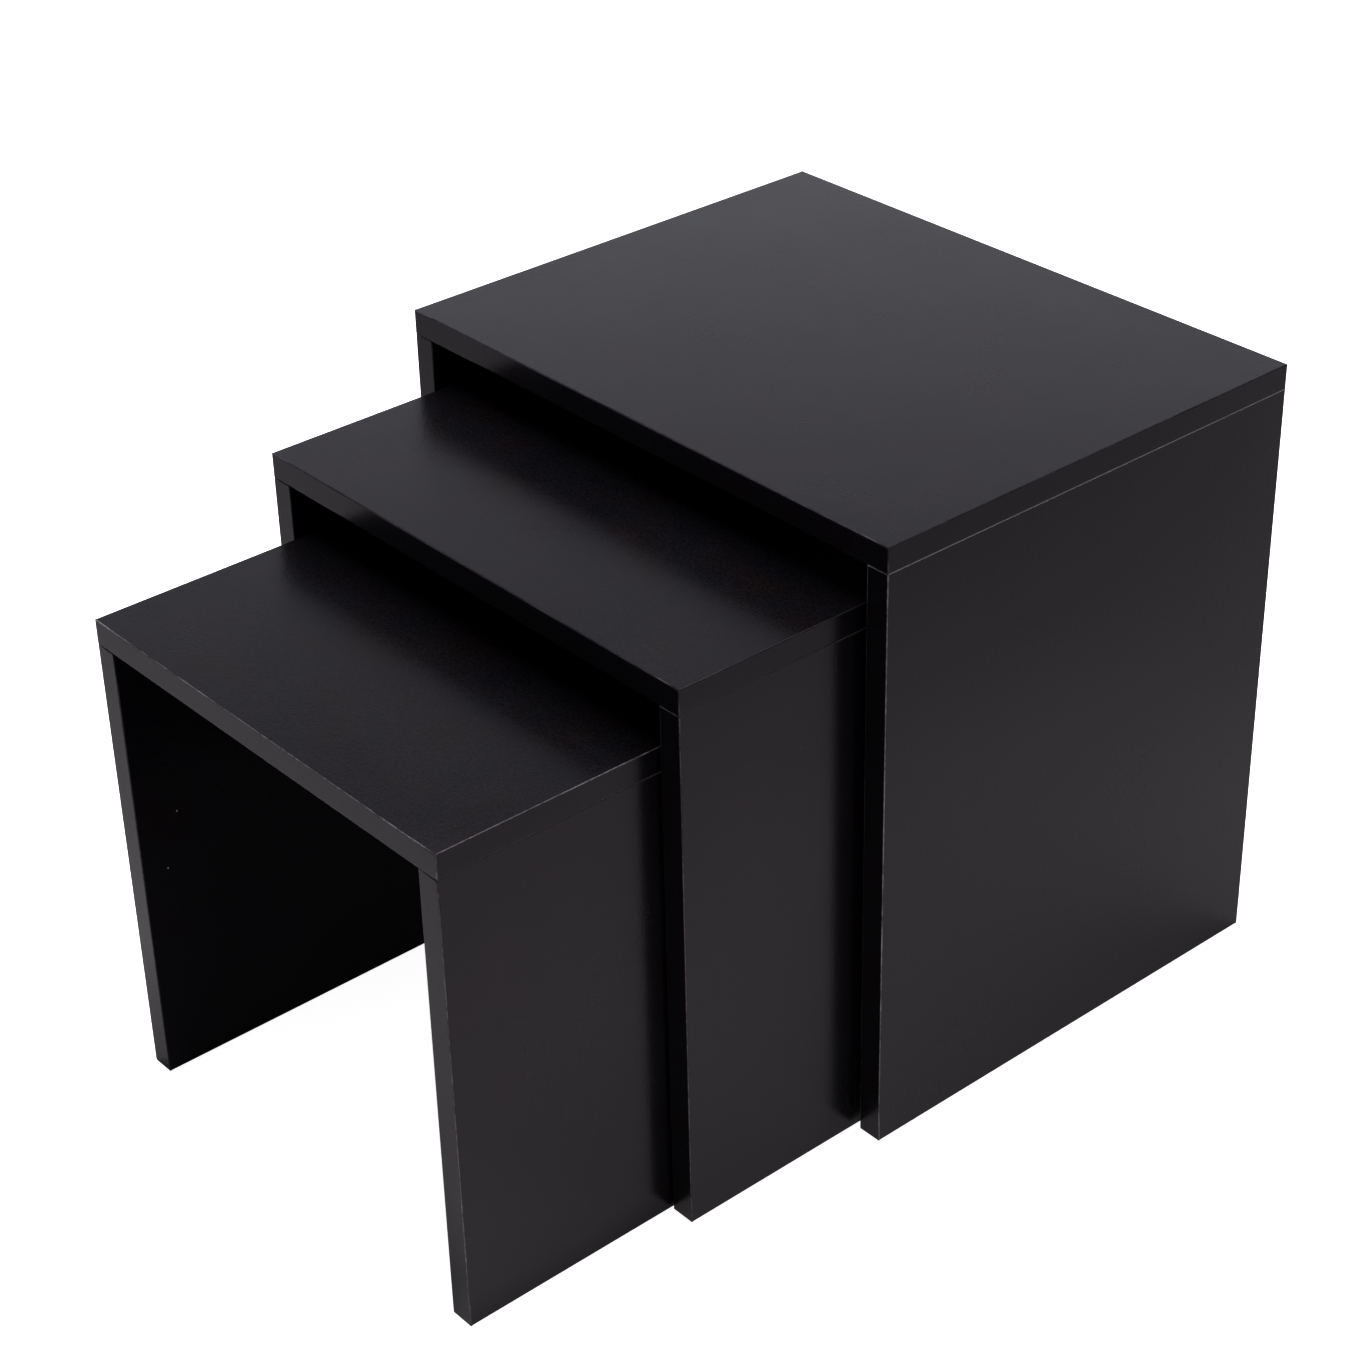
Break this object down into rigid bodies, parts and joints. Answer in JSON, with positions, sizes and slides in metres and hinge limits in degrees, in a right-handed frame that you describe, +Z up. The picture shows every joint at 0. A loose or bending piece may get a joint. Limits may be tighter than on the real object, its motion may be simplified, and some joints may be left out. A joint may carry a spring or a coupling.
{
  "type": "nesting tables",
  "caption": "Nest of dark melamine side tables, each a top board lying on two side boards, that slide one inside another on open fronts.",
  "frame": {"origin": "on the floor, at the centre of the footprint of the whole nest as it is set out in the picture", "axes": "+Z up; -Y is the way the open fronts face and the smaller tables pull out; +X is to the right for a person who faces the fronts"},
  "size_m": [0.466, 0.674, 0.45],
  "materials": {
    "melamine_board": "satin near-black melamine foil on particleboard, faintly mottled",
    "edge_band": "satin near-black edge tape, arrises slightly worn",
    "cam_zinc": "dull die-cast zinc",
    "bolt_steel": "bright zinc plate",
    "dowel_beech": "bare beech",
    "cap_plastic": "moulded black plastic"
  },
  "bodies": {
    "large_table": {"large_top_board": "melamine_board", "large_left_side_board": "melamine_board", "large_right_side_board": "melamine_board", "large_top_front_band": "edge_band", "large_top_back_band": "edge_band", "large_top_left_band": "edge_band", "large_top_right_band": "edge_band", "large_left_side_front_band": "edge_band", "large_left_side_back_band": "edge_band", "large_left_side_bottom_band": "edge_band", "large_right_side_front_band": "edge_band", "large_right_side_back_band": "edge_band", "large_right_side_bottom_band": "edge_band", "large_cam_housings": "cam_zinc", "large_cam_bolts": "bolt_steel", "large_dowels": "dowel_beech", "large_cam_caps": "cap_plastic"},
    "medium_table": {"medium_top_board": "melamine_board", "medium_left_side_board": "melamine_board", "medium_right_side_board": "melamine_board", "medium_top_front_band": "edge_band", "medium_top_back_band": "edge_band", "medium_top_left_band": "edge_band", "medium_top_right_band": "edge_band", "medium_left_side_front_band": "edge_band", "medium_left_side_back_band": "edge_band", "medium_left_side_bottom_band": "edge_band", "medium_right_side_front_band": "edge_band", "medium_right_side_back_band": "edge_band", "medium_right_side_bottom_band": "edge_band", "medium_cam_housings": "cam_zinc", "medium_cam_bolts": "bolt_steel", "medium_dowels": "dowel_beech", "medium_cam_caps": "cap_plastic"},
    "small_table": {"small_top_board": "melamine_board", "small_left_side_board": "melamine_board", "small_right_side_board": "melamine_board", "small_top_front_band": "edge_band", "small_top_back_band": "edge_band", "small_top_left_band": "edge_band", "small_top_right_band": "edge_band", "small_left_side_front_band": "edge_band", "small_left_side_back_band": "edge_band", "small_left_side_bottom_band": "edge_band", "small_right_side_front_band": "edge_band", "small_right_side_back_band": "edge_band", "small_right_side_bottom_band": "edge_band", "small_cam_housings": "cam_zinc", "small_cam_bolts": "bolt_steel", "small_dowels": "dowel_beech", "small_cam_caps": "cap_plastic"}
  },
  "joints": [
    {"name": "medium_slide", "type": "slide", "parent": "large_table", "child": "medium_table", "axis": [0, -1, 0], "range_m": [-0.145, 0.25]},
    {"name": "small_slide", "type": "slide", "parent": "medium_table", "child": "small_table", "axis": [0, -1, 0], "range_m": [-0.164, 0.231]}
  ]
}
